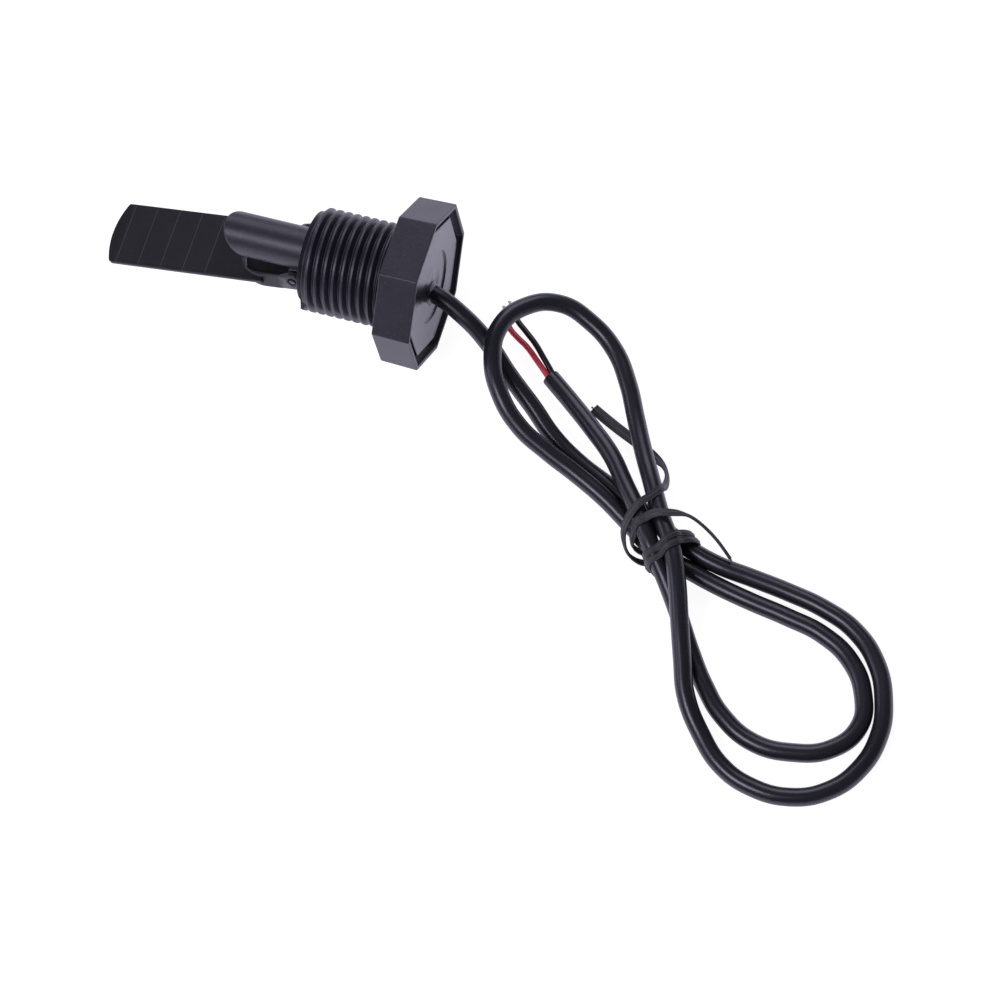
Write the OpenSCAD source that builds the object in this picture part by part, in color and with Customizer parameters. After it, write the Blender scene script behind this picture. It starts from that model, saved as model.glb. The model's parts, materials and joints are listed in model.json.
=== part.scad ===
// Side-mounted water level switch: an octagonal head with a threaded neck, a round finger
// that holds a reed switch, and a hinged paddle that carries a magnet. A two-core cable
// leaves the back of the head, lies in two loops and is held by a twist tie.
// The body's axis runs along X, the paddle points to -X, and the head lies on one flat at z = 0.

/* [Head] */
// Width of the head across its flats
head_flats = 31; // [29:0.5:34]
// Thickness of the head along the axis
head_length = 7.8; // [7:0.1:10]
// Thickness of the rim round the back of the head
rim_wall = 0.9; // [0.8:0.1:2]
// Depth of the groove inside the rim
groove_depth = 1.4; // [1.2:0.1:2]
// Width of the groove between the rim and the cover's plate
groove_width = 1.6; // [1:0.1:2]
// Distance from the rim down to the plate
plate_drop = 0.6; // [0.4:0.1:0.9]
// Radius of the round dish in the plate
dish_r = 7.4; // [6:0.1:8.5]
// Depth of the dish
dish_depth = 0.3; // [0.2:0.1:0.6]

/* [Thread] */
// Outside radius of the thread, size one half inch with 14 turns to the inch
thread_r = 10.4775; // [10.4775:10.4775]
// Radius at the root of the thread
root_r = 9.3155; // [9.3155:9.3155]
// Pitch of the thread
pitch = 1.814; // [1.814:1.814]
// Length of the neck that carries the thread
neck_length = 18.3; // [17.5:0.1:20]
// Number of turns of thread
turns = 9; // [7:1:9]

/* [Finger] */
// Radius of the finger
finger_r = 4.3; // [4.1:0.1:4.5]
// Height of the finger's axis over the neck's axis
finger_rise = 3.7; // [3.5:0.1:4]
// Distance from the head's front to the top of the nose
finger_reach = 35.5; // [34.5:0.5:38]
// Slant of the nose
nose_slant = 35; // [20:1:40]
// Radius of the bore for the reed switch
reed_bore_r = 2; // [1.9:0.1:2.1]

/* [Paddle] */
// Length of the paddle from the pin to the tip
paddle_length = 44.9; // [40:0.1:48]
// Width of the paddle
paddle_width = 13.4; // [13:0.1:14]
// Thickness of the blade
blade_t = 1; // [0.8:0.1:1.2]
// Angle that the paddle hangs below the axis at rest
rest_tilt = 14.3; // [10:0.1:15]
// Distance from one score line to the next
score_step = 5.25; // [4:0.25:5.5]
// Radius of the hinge pin
pin_r = 0.8; // [0.7:0.05:0.85]
// Radius of the lugs round the pin
lug_r = 1.5; // [1.4:0.05:1.65]

/* [Cable] */
// Diameter of the cable
cable_d = 3.6; // [3.4:0.1:3.6]
// Diameter of each insulated wire in the cable
wire_d = 1.2; // [1:0.1:1.3]
// Width of the twist tie
tie_w = 2.2; // [1.8:0.1:2.6]

/* [Hidden] */
$fn = 64;
eps = 0.01;
axis_z = head_flats / 2;
pin_x = -neck_length - 1.86;
pin_z = 0.99;
blade_top = -1.01;
hub_bottom = blade_top - 2;
// The box of the body without its cable is centred on the origin in X.
tip_x = pin_x - paddle_length * cos(rest_tilt) - blade_top * sin(rest_tilt);
shift_x = -(tip_x + head_length) / 2;
cover_t = 1.6;
cover_back = head_length - groove_depth;
plate_back = head_length - plate_drop;
dish_back = plate_back - dish_depth;
cover_front = cover_back - cover_t;
cavity_r = 7.2;
cavity_front = -neck_length + 1.5;
resin_front = 1;
cable_start = 0.2;
exit_y = -1;
exit_z = -1;
reed_z = 4.6;
cable_r = cable_d / 2;
wire_r = wire_d / 2;
nose_gap = 6.5;
reed_front = -finger_reach + nose_gap;
reed_length = 12;
reed_rear = reed_front + reed_length;
bore_spare = 1.2;
bore_front = reed_front - bore_spare;
turn_out = 0.6;
lead_side = 1.4;
seal = 1.2;
reed_r = 1;
lead_r = 0.25;
lead_proud = 0.05;
sleeve_t = 0.2;
sleeve_back = 1.5;
sleeve_short = 3;
return_drop = 1.5;
blade_length = 5.2;
joint_length = 2.6;
joint_gap = 3;
joint_step = 5;
first_joint_x = reed_rear + joint_gap;
second_joint_x = first_joint_x + joint_step;
lead_middle = (cable_start + second_joint_x) / 2;
// Centres of the hub's round front and of its recess, from the pin
hub_round = 7.5;
recess_r = 4.85;
recess_round = 9;
recess_depth = 1.2;
// The hub's rim stands over the blade and leans in
rim_rise = 0.5;
rim_lean = 0.5;
heel = 0.95;
lug_slope = 4.5;
lug_lean = 1;
pin_short = 0.6;
boss_drop = 1.8;
magnet_r = 2.5;
magnet_h = 1.6;
magnet_at = 9;
cap_t = 0.6;
tip_r = 15.7;
tip_corner_r = 0.8;
first_score = 20.8;
scores = 5;
// Low shoulder at the root of the neck, which the gasket is centred on
shoulder_r = 10.65;
shoulder_t = 0.4;
// Place of the crest nearest to the head
last_crest = 2.1;
// Length that passes right through any piece
beyond = 60;

// Route of the cable's centre line from inside the head to its stripped end
cable_route = [[shift_x + cable_start, exit_y, axis_z + exit_z],
    [shift_x + dish_back, exit_y, axis_z + exit_z],
    [42, -3.5, 12.5], [47.5, -6.5, 9.5],
    [53, -11, 7], [59, -15.5, 5], [64.5, -20, 3.5], [70.5, -23.5, 2.5], [77.5, -26.5, 2],
    [84, -29.5, 2.9], [90, -32.5, 2.9], [96, -35.3, 3.1], [103, -37.2, 2.8], [110, -37.9, 2.3],
    [117.5, -38.8, 2], [125, -40.3, 2], [131.6, -43, 2], [137.3, -48.3, 2], [140.5, -55, 2],
    [141.5, -62, 2], [139.5, -69.5, 2], [135, -75, 2], [128.5, -78, 2], [121, -78, 2],
    [114.5, -75.5, 2], [109, -70.5, 2.5], [104.5, -64.5, 4], [102, -58, 5.5], [99.5, -51, 7],
    [97, -44, 8], [94, -37.5, 8], [90, -31.5, 7.5], [86.5, -25.5, 7], [83, -19.5, 6],
    [79.5, -13, 5.5], [76, -6.5, 6], [71.5, -0.5, 6.5], [65.5, 3.5, 8], [59, 5, 10],
    [53, 2, 12], [49.5, -4, 13], [50, -10.5, 12.5], [53.5, -17, 11], [58.5, -21.5, 8.5],
    [65, -24.5, 6.5], [71.5, -27, 5], [78, -30, 4], [84, -33.5, 3], [90.5, -37.5, 2.9],
    [97, -39.4, 2.6], [104, -41.1, 2], [111, -42.5, 2], [118.5, -43.7, 2], [126, -45.4, 2],
    [132.4, -49.1, 2], [136.5, -55, 2], [137.4, -61.3, 2], [133.6, -66.8, 2], [126.5, -69.5, 2],
    [119, -69.5, 2], [112, -66, 2], [107, -61, 2], [102.5, -55, 2], [98.5, -49, 3],
    [94.5, -43.5, 4.5], [90, -38, 6.7], [86, -32.5, 7], [81.5, -27, 6], [77, -21.5, 5],
    [71.5, -16.5, 3.5], [66, -12, 2.5], [60, -7.5, 2]];

// Routes of the two wires outside the jacket
red_route = [[59.5, -7.5, 2], [56.5, -5, 2.5], [53.5, -2.5, 2.5], [51, -1, 2.5], [49, 0.5, 2.5],
    [47.5, 3, 2]];
black_route = [[60, -6.5, 2], [57.5, -4, 2.5], [55, -1.5, 2.5], [52.5, 0.5, 2.5], [50, 2.5, 2.5],
    [48.5, 4.5, 2]];
tip_length = 2;

// Routes of the same wires inside the head, from the cable's end to the joints
red_inside = [[cable_start, exit_y - 0.7, exit_z], [lead_middle, -0.7, 0.5],
    [second_joint_x, 0, reed_z - return_drop]];
black_inside = [[cable_start, exit_y + 0.7, exit_z], [lead_middle, lead_side, 1.5],
    [second_joint_x - 1, lead_side, reed_z - 0.3], [first_joint_x, 0, reed_z]];

// The tie: its middle on the bundle, the way the bundle runs, and the two wraps' places along it
tie_at = [89.6, -34.6, 0];
tie_turn = -44;
tie_reach = 12;
first_wrap = -2.5;
second_wrap = 3.2;
wrap_gap = 0.4;
tie_t = 0.4;
first_tail = [[70, -11.5, 2], [75, -14, 2], [79.5, -16, 2], [84.5, -18, 2], [88, -20.5, 2],
    [91, -23.5, 3], [92.6, -27.2, 4.5]];
second_tail = [[90.2, -31.8, 10.5], [92.5, -31.2, 10.3], [95.5, -31, 9.3], [98.5, -31.8, 7.8],
    [102, -33.6, 6.3], [105, -36, 5.2]];

module along_x(r1, length, x = 0, r2 = undef) {
    translate([x, 0, 0]) rotate([0, 90, 0])
        cylinder(r1 = r1, r2 = is_undef(r2) ? r1 : r2, h = length);
}

module across_y(r, width) {
    rotate([90, 0, 0]) cylinder(r = r, h = width, center = true);
}

// Regular octagon with flats up, down and to the sides, from x to x + length
module octagon(flats, x, length) {
    translate([x, 0, 0]) rotate([0, 90, 0]) rotate([0, 0, 22.5])
        cylinder(r = flats / 2 / cos(22.5), h = length, $fn = 8);
}

// Moves the body from its own axis to its place over the surface
module placed() {
    translate([shift_x, 0, axis_z]) children();
}

// Moves a piece of the paddle from the pin's frame to its hanging rest
module hanging() {
    placed() translate([pin_x, 0, pin_z]) rotate([0, -rest_tilt, 0]) children();
}

function unit(v) = v / norm(v);
function heading(route, i) =
    unit(route[min(i + 1, len(route) - 1)] - route[max(i - 1, 0)]);

// Ring of corners round point i of a route, wide and high half sizes in its own plane
function ring(route, i, wide, high, sides) =
    let (t = heading(route, i), a = unit(cross([0, 0, 1], t)), b = cross(t, a))
    [for (k = [0 : sides - 1])
        let (turn = 360 * (k + 0.5) / sides)
        route[i] + wide * cos(turn) * a + high * sin(turn) * b];

// Closed tube swept along a route
module tube(route, wide, high, sides) {
    n = len(route);
    corners = [for (i = [0 : n - 1]) each ring(route, i, wide, high, sides)];
    walls = [for (i = [0 : n - 2], k = [0 : sides - 1])
        let (next = (k + 1) % sides, a = i * sides, b = a + sides)
        each [[a + k, b + k, b + next], [a + k, b + next, a + next]]];
    caps = [[for (k = [0 : sides - 1]) k], [for (k = [sides - 1 : -1 : 0]) (n - 1) * sides + k]];
    polyhedron(points = corners, faces = concat(walls, caps));
}

module nose_cut() {
    translate([-finger_reach, 0, finger_rise + finger_r]) rotate([0, -nose_slant, 0])
        translate([-beyond, -beyond / 2, -beyond]) cube([beyond, beyond, 2 * beyond]);
}

module thread_profile() {
    crest = 0.2;
    start = -pitch * (turns - 1) - last_crest;
    rotate([0, 90, 0]) rotate_extrude($fn = 96)
        polygon(concat(
            [[0, -neck_length], [root_r, -neck_length]],
            [for (i = [0 : turns - 1])
                let (x = start + i * pitch)
                each [[root_r, x - pitch / 2 + 0.1], [thread_r, x - crest],
                    [thread_r, x + crest], [root_r, x + pitch / 2 - 0.1]]],
            [[root_r, -shoulder_t], [shoulder_r, -shoulder_t], [shoulder_r, 0.5], [0, 0.5]]));
}

module finger() {
    difference() {
        translate([0, 0, finger_rise])
            along_x(finger_r, finger_reach - neck_length + 2, -finger_reach - 0.5);
        nose_cut();
    }
    translate([pin_x, 0, pin_z]) across_y(pin_r + 0.7, 2 * recess_r - 0.4);
}

module housing() {
    color([0.17, 0.17, 0.18]) placed() difference() {
        union() {
            octagon(head_flats, 0, head_length);
            thread_profile();
            finger();
        }
        octagon(head_flats - 2 * rim_wall, cover_front, head_length);
        along_x(cavity_r, cover_front - cavity_front + eps, cavity_front);
        translate([0, 0, reed_z])
            along_x(reed_bore_r, cavity_front - bore_front + eps, bore_front);
        translate([pin_x, 0, pin_z]) across_y(pin_r, beyond);
    }
}

module rear_cover() {
    color([0.22, 0.22, 0.23]) placed() difference() {
        union() {
            octagon(head_flats - 2 * rim_wall - 0.1, cover_front, cover_t);
            octagon(head_flats - 2 * (rim_wall + groove_width), cover_front, plate_back - cover_front);
        }
        along_x(dish_r, beyond, dish_back);
        translate([0, exit_y, exit_z]) along_x(cable_r + 0.05, beyond, 0);
    }
}

module cable_bead() {
    color([0.12, 0.12, 0.13]) placed()
        translate([dish_back, exit_y, exit_z]) rotate([0, 90, 0])
        rotate_extrude()
        polygon([[cable_r, 0], [cable_r + 0.9, 0], [cable_r + 0.35, 0.2], [cable_r, 0.6]]);
}

module potting_resin() {
    color([0.1, 0.1, 0.11]) placed() difference() {
        along_x(cavity_r - 0.05, cover_front - resin_front, resin_front);
        translate([0, exit_y, exit_z]) along_x(cable_r, beyond, 0);
    }
}

module blade_outline() {
    middle = paddle_length - tip_r;
    intersection() {
        translate([-paddle_length, -paddle_width / 2])
            square([paddle_length - hub_round, paddle_width]);
        union() {
            translate([-middle, 0]) circle(r = tip_r, $fn = 128);
            translate([-middle, -paddle_width]) square([middle, 2 * paddle_width]);
        }
    }
}

module blade() {
    difference() {
        translate([0, 0, blade_top - blade_t]) linear_extrude(blade_t)
            offset(r = tip_corner_r, $fn = 32) offset(delta = -tip_corner_r) blade_outline();
        for (i = [0 : scores - 1])
            translate([-first_score - i * score_step, 0, blade_top]) rotate([0, 45, 0])
                cube([0.4, paddle_width + 1, 0.4], center = true);
    }
}

// Side outline of the lugs: round at the pin, with a long slope towards the blade
module lug_outline() {
    hull() {
        circle(r = lug_r, $fn = 32);
        translate([-lug_slope, hub_bottom]) square([lug_slope + heel, blade_top - hub_bottom]);
    }
}

// Bar from the hub's round front to its heel, with the given right side from bottom to top
module hub_bar(side) {
    left = [for (i = [len(side) - 1 : -1 : 0]) [-side[i][0], side[i][1]]];
    translate([-hub_round, 0, 0]) rotate([90, 0, 90]) linear_extrude(hub_round + heel)
        polygon(concat(side, left));
}

module hub() {
    half = paddle_width / 2;
    top = blade_top + rim_rise;
    translate([-hub_round, 0, hub_bottom]) {
        cylinder(r = half, h = blade_top - hub_bottom);
        translate([0, 0, blade_top - hub_bottom])
            cylinder(r1 = half, r2 = half - rim_lean, h = rim_rise);
    }
    hub_bar([[half, hub_bottom], [half, blade_top], [half - rim_lean, top]]);
    intersection() {
        rotate([90, 0, 0]) linear_extrude(2 * half, center = true) lug_outline();
        hub_bar([[half, hub_bottom], [half, blade_top], [half - lug_lean, lug_r]]);
    }
    translate([-magnet_at, 0, hub_bottom - boss_drop])
        cylinder(r = magnet_r + 1, h = boss_drop + 0.5);
}

// Space in the hub for the finger when the paddle is raised
module hub_recess() {
    translate([-recess_round, 0, blade_top - recess_depth]) {
        cylinder(r = recess_r, h = beyond);
        translate([0, -recess_r, 0]) cube([beyond, 2 * recess_r, beyond]);
    }
}

module paddle() {
    color([0.15, 0.15, 0.16]) hanging() difference() {
        union() {
            blade();
            hub();
        }
        hub_recess();
        across_y(pin_r + 0.05, beyond);
        translate([-magnet_at, 0, hub_bottom + 0.3 - beyond]) cylinder(r = magnet_r, h = beyond);
    }
}

module hinge_pin() {
    color([0.2, 0.2, 0.2]) placed() translate([pin_x, 0, pin_z])
        across_y(pin_r, paddle_width - 2 * pin_short);
}

module paddle_magnet() {
    color([0.6, 0.6, 0.62]) hanging()
        translate([-magnet_at, 0, hub_bottom + 0.3 - magnet_h]) cylinder(r = magnet_r, h = magnet_h);
}

module magnet_cap() {
    color([0.15, 0.15, 0.16]) hanging()
        translate([-magnet_at, 0, hub_bottom - boss_drop - 0.1]) cylinder(r = magnet_r, h = cap_t);
}

module reed_glass() {
    color([0.6, 0.75, 0.7]) placed() translate([0, 0, reed_z]) difference() {
        along_x(reed_r, reed_length, reed_front);
        along_x(reed_r - 0.25, reed_length - 2 * seal, reed_front + seal);
        along_x(lead_r, beyond, reed_front - 1);
    }
}

module contact_blade(x, z) {
    translate([x, -0.4, z]) cube([blade_length, 0.8, 0.16]);
}

module reed_lead_front() {
    turn_x = reed_front - turn_out;
    blade_x = reed_front + seal + lead_proud;
    color([0.75, 0.7, 0.6]) placed() union() {
        translate([0, 0, reed_z]) along_x(lead_r, blade_x + lead_proud - turn_x, turn_x);
        contact_blade(blade_x, reed_z - 0.22);
        translate([turn_x, 0, reed_z - return_drop]) cylinder(r = lead_r, h = return_drop);
        translate([turn_x, 0, reed_z]) sphere(r = lead_r, $fn = 24);
        translate([turn_x, 0, reed_z - return_drop]) sphere(r = lead_r, $fn = 24);
        translate([0, 0, reed_z - return_drop])
            along_x(lead_r, second_joint_x - joint_length - turn_x, turn_x);
    }
}

module reed_lead_rear() {
    start = reed_rear - seal - lead_proud;
    color([0.75, 0.7, 0.6]) placed() translate([0, 0, reed_z])
        along_x(lead_r, first_joint_x - joint_length - start, start);
}

module reed_blade_moving() {
    color([0.8, 0.75, 0.6]) placed()
        contact_blade(reed_rear - seal - lead_proud - blade_length, reed_z + 0.06);
}

module reed_sleeve() {
    color([0.1, 0.1, 0.1]) placed() translate([0, 0, reed_z]) difference() {
        along_x(reed_r + sleeve_t, reed_length - sleeve_short, reed_front + sleeve_back);
        along_x(reed_r, reed_length, reed_front);
    }
}

module solder_joints() {
    color([0.7, 0.7, 0.72]) placed() union() {
        translate([0, 0, reed_z]) along_x(0.5, joint_length, first_joint_x - joint_length);
        translate([0, 0, reed_z - return_drop])
            along_x(0.5, joint_length, second_joint_x - joint_length);
    }
}

module joint_sleeve(z, x) {
    translate([0, 0, z]) difference() {
        along_x(0.85, joint_length - 0.4, x - joint_length + 0.2);
        along_x(0.5, joint_length + 2, x - joint_length - 1);
    }
}

module joint_sleeves() {
    color([0.1, 0.1, 0.1]) placed() union() {
        joint_sleeve(reed_z, first_joint_x);
        joint_sleeve(reed_z - return_drop, second_joint_x);
    }
}

module red_lead_inside() {
    color([0.75, 0.2, 0.25]) placed() tube(red_inside, wire_r, wire_r, 8);
}

module black_lead_inside() {
    color([0.1, 0.1, 0.1]) placed() tube(black_inside, wire_r, wire_r, 8);
}

module cable_jacket() {
    color([0.2, 0.2, 0.21]) tube(cable_route, cable_r, cable_r, 8);
}

module red_wire_tail() {
    color([0.75, 0.2, 0.25]) tube(red_route, wire_r, wire_r, 8);
}

module black_wire_tail() {
    color([0.12, 0.12, 0.12]) tube(black_route, wire_r, wire_r, 8);
}

module wire_tip(route) {
    n = len(route) - 1;
    t = heading(route, n);
    tube([route[n], route[n] + tip_length * t], 0.35, 0.35, 8);
}

module wire_tips() {
    color([0.85, 0.85, 0.85]) union() {
        wire_tip(red_route);
        wire_tip(black_route);
    }
}

// Distance of point i of the cable along the bundle, and the places where the cable crosses
// the bundle at one such distance, as distances across it and heights
function along(i) =
    let (p = cable_route[i] - tie_at) p[0] * cos(tie_turn) + p[1] * sin(tie_turn);
function crossings(at) =
    [for (i = [0 : len(cable_route) - 2])
        let (a = along(i) - at, b = along(i + 1) - at, span = cable_route[i + 1] - cable_route[i])
        if (a * b <= 0 && a != b)
            let (p = cable_route[i] + span * a / (a - b) - tie_at)
            if (norm(p) < tie_reach) [p[0] * sin(tie_turn) - p[1] * cos(tie_turn), p[2]]];

module wrap_outline(at, grow) {
    edges = [at - tie_w / 2, at, at + tie_w / 2];
    hull() for (x = edges, p = crossings(x)) translate(p)
        circle(r = cable_r + wrap_gap + grow, $fn = 24);
}

// One turn of the tie round the four strands
module wrap(at) {
    translate(tie_at) rotate([0, 0, tie_turn]) translate([at + tie_w / 2, 0, 0])
        rotate([90, 0, -90]) linear_extrude(tie_w) difference() {
            wrap_outline(at, tie_t);
            wrap_outline(at, 0);
        }
}

module tie_wraps() {
    color([0.25, 0.25, 0.25]) union() {
        wrap(first_wrap);
        wrap(second_wrap);
    }
}

module tie_tails() {
    color([0.25, 0.25, 0.25]) union() {
        tube(first_tail, tie_w / sqrt(2), 0.28, 4);
        tube(second_tail, tie_w / sqrt(2), 0.28, 4);
    }
}

module tie_wire_end(route) {
    t = unit(route[0] - route[1]);
    tube([route[0], route[0] + 0.8 * t], 0.22, 0.22, 8);
}

module tie_wire_ends() {
    color([0.5, 0.5, 0.5]) union() {
        tie_wire_end(first_tail);
        tie_wire_end([for (i = [len(second_tail) - 1 : -1 : 0]) second_tail[i]]);
    }
}

housing();
rear_cover();
cable_bead();
potting_resin();
paddle();
hinge_pin();
paddle_magnet();
magnet_cap();
reed_glass();
reed_lead_front();
reed_lead_rear();
reed_blade_moving();
reed_sleeve();
solder_joints();
joint_sleeves();
red_lead_inside();
black_lead_inside();
cable_jacket();
red_wire_tail();
black_wire_tail();
wire_tips();
tie_wraps();
tie_tails();
tie_wire_ends();
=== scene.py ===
# Looks of the water level switch. Sizes in the dictionaries are in mm.
import json
import math

import bmesh
import bpy
from mathutils import Matrix, Vector


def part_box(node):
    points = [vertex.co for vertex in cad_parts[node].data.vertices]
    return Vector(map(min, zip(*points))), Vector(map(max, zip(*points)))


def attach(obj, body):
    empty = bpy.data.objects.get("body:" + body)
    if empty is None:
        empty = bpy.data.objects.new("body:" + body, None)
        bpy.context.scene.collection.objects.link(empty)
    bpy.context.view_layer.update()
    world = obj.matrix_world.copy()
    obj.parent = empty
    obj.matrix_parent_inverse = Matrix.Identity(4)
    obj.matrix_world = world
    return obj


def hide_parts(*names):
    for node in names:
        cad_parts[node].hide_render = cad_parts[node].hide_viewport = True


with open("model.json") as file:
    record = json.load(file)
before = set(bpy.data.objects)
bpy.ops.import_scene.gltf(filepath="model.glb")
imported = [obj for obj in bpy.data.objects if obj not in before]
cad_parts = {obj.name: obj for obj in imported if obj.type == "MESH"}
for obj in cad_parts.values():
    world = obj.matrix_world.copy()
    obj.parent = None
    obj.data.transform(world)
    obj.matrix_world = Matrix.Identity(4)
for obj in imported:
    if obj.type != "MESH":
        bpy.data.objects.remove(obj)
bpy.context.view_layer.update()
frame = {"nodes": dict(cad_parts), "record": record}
print("frame loaded:", len(frame["nodes"]), "nodes")

mm = 0.001
scene = bpy.context.scene

# Camera at the photograph's place, looking down from behind the head
camera = {
    "place": (199.76, -253.6, 633.98),
    "right": (0.9487, 0.2962, -0.1102),
    "up": (-0.2386, 0.9000, 0.3648),
    "lens": 125.9,
    "sensor": 36.0,
}


def addCamera():
    data = bpy.data.cameras.new("camera")
    data.lens = camera["lens"]
    data.sensor_width = camera["sensor"]
    data.sensor_fit = "HORIZONTAL"
    data.clip_start, data.clip_end = 0.01, 20
    eye = bpy.data.objects.new("camera", data)
    scene.collection.objects.link(eye)
    right = Vector(camera["right"]).normalized()
    back = right.cross(Vector(camera["up"])).normalized()
    up = back.cross(right)
    turn = Matrix((right, up, back)).transposed().to_4x4()
    eye.matrix_world = Matrix.Translation(Vector(camera["place"]) * mm) @ turn
    scene.camera = eye


addCamera()

studio = {
    "tint": (0.97, 0.94, 1.17),    # the light is slightly cool
    "roomGrey": 0.13,      # the room, as it lights the part and shows in it
    "floorShine": 0.52,    # how pale the floor is for the part's reflections, unlit
    "floorPale": 1.25,     # and how much more where the lamps light it
    "floorGlow": 0.93,     # what the camera sees of the floor before a lamp lights it
    "floorGrey": 0.30,     # how pale its paint is for the lamps, which gives the shadows
    "floorHalf": 3000,
    "middle": (40, -20, 0),    # the lamps point here
    "lampDistance": 900,
    "lamps": {             # where each lamp stands, its size and its watts
        "keyLamp": ((-0.28, -0.50, 0.82), 330, 3.2),
        "topLamp": ((-0.20, 0.74, 0.64), 600, 2.6),
        "sideLamp": ((-0.85, -0.20, 0.48), 400, 1.0),
    },
}


def seenOrNot(tree, seen, otherwise):
    # what the camera sees, also through glass, against what lights the part
    path = tree.nodes.new("ShaderNodeLightPath")
    either = tree.nodes.new("ShaderNodeMath")
    either.operation = "MAXIMUM"
    tree.links.new(path.outputs["Is Camera Ray"], either.inputs[0])
    tree.links.new(path.outputs["Is Transmission Ray"], either.inputs[1])
    mix = tree.nodes.new("ShaderNodeMixShader")
    tree.links.new(either.outputs[0], mix.inputs[0])
    tree.links.new(otherwise, mix.inputs[1])
    tree.links.new(seen, mix.inputs[2])
    return mix.outputs[0]


def addShader(tree, kind, colour, strength=None):
    shader = tree.nodes.new(kind)
    shader.inputs["Color"].default_value = colour + (1,)
    if strength is not None:
        shader.inputs["Strength"].default_value = strength
    return shader.outputs[0]


def addTogether(tree, one, other):
    both = tree.nodes.new("ShaderNodeAddShader")
    tree.links.new(one, both.inputs[0])
    tree.links.new(other, both.inputs[1])
    return both.outputs[0]


def addRoom():
    world = bpy.data.worlds.new("room")
    scene.world = world
    world.use_nodes = True
    tree = world.node_tree
    tree.nodes.clear()
    white = addShader(tree, "ShaderNodeBackground", (1, 1, 1))
    grey = addShader(tree, "ShaderNodeBackground", studio["tint"], studio["roomGrey"])
    out = tree.nodes.new("ShaderNodeOutputWorld")
    tree.links.new(seenOrNot(tree, white, grey), out.inputs[0])


def addFloor():
    far = studio["floorHalf"] * mm
    corners = [(-far, -far, 0), (far, -far, 0), (far, far, 0), (-far, far, 0)]
    mesh = bpy.data.meshes.new("floor")
    mesh.from_pydata(corners, [], [(0, 1, 2, 3)])
    floor = bpy.data.objects.new("floor", mesh)
    scene.collection.objects.link(floor)
    paint = bpy.data.materials.new("floorPaint")
    paint.use_nodes = True
    tree = paint.node_tree
    tree.nodes.clear()
    matt = addShader(tree, "ShaderNodeBsdfDiffuse", (studio["floorGrey"],) * 3)
    glow = addShader(tree, "ShaderNodeEmission", (1, 1, 1), studio["floorGlow"])
    even = addShader(tree, "ShaderNodeEmission", studio["tint"], studio["floorShine"])
    lit = addShader(tree, "ShaderNodeBsdfDiffuse", (studio["floorPale"],) * 3)
    seen = addTogether(tree, matt, glow)
    mirrored = addTogether(tree, even, lit)
    out = tree.nodes.new("ShaderNodeOutputMaterial")
    tree.links.new(seenOrNot(tree, seen, mirrored), out.inputs[0])
    mesh.materials.append(paint)


def addLamps():
    for name, (side, size, watts) in studio["lamps"].items():
        lamp = bpy.data.lights.new(name, "AREA")
        lamp.shape = "SQUARE"
        lamp.size = size * mm
        lamp.energy = watts
        lamp.color = studio["tint"]
        holder = bpy.data.objects.new(name, lamp)
        scene.collection.objects.link(holder)
        away = Vector(side).normalized()
        holder.location = (Vector(studio["middle"]) + away * studio["lampDistance"]) * mm
        holder.rotation_mode = "QUATERNION"
        holder.rotation_quaternion = away.to_track_quat("Z", "Y")


addRoom()
addFloor()
addLamps()
scene.view_settings.view_transform = "Standard"
print("camera, floor and lamps placed")


# Marks on a finish: the values where they start and are full, of the fine noise for dust and of
# the edges' sharpness for the others, and their colour
marks = {
    "dust": (0.62, 0.75, (0.18, 0.18, 0.20)),    # small pale specks
    "grooveHighlight": (0.5, 0.47, (0.10, 0.10, 0.12)),     # grooves painted paler: a painted highlight, where their walls catch light
    "wearAndEdgeHighlight": (0.52, 0.62, (0.14, 0.14, 0.15)),    # edges painted paler: partly rubbed wear, partly a painted highlight along them
}
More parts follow.
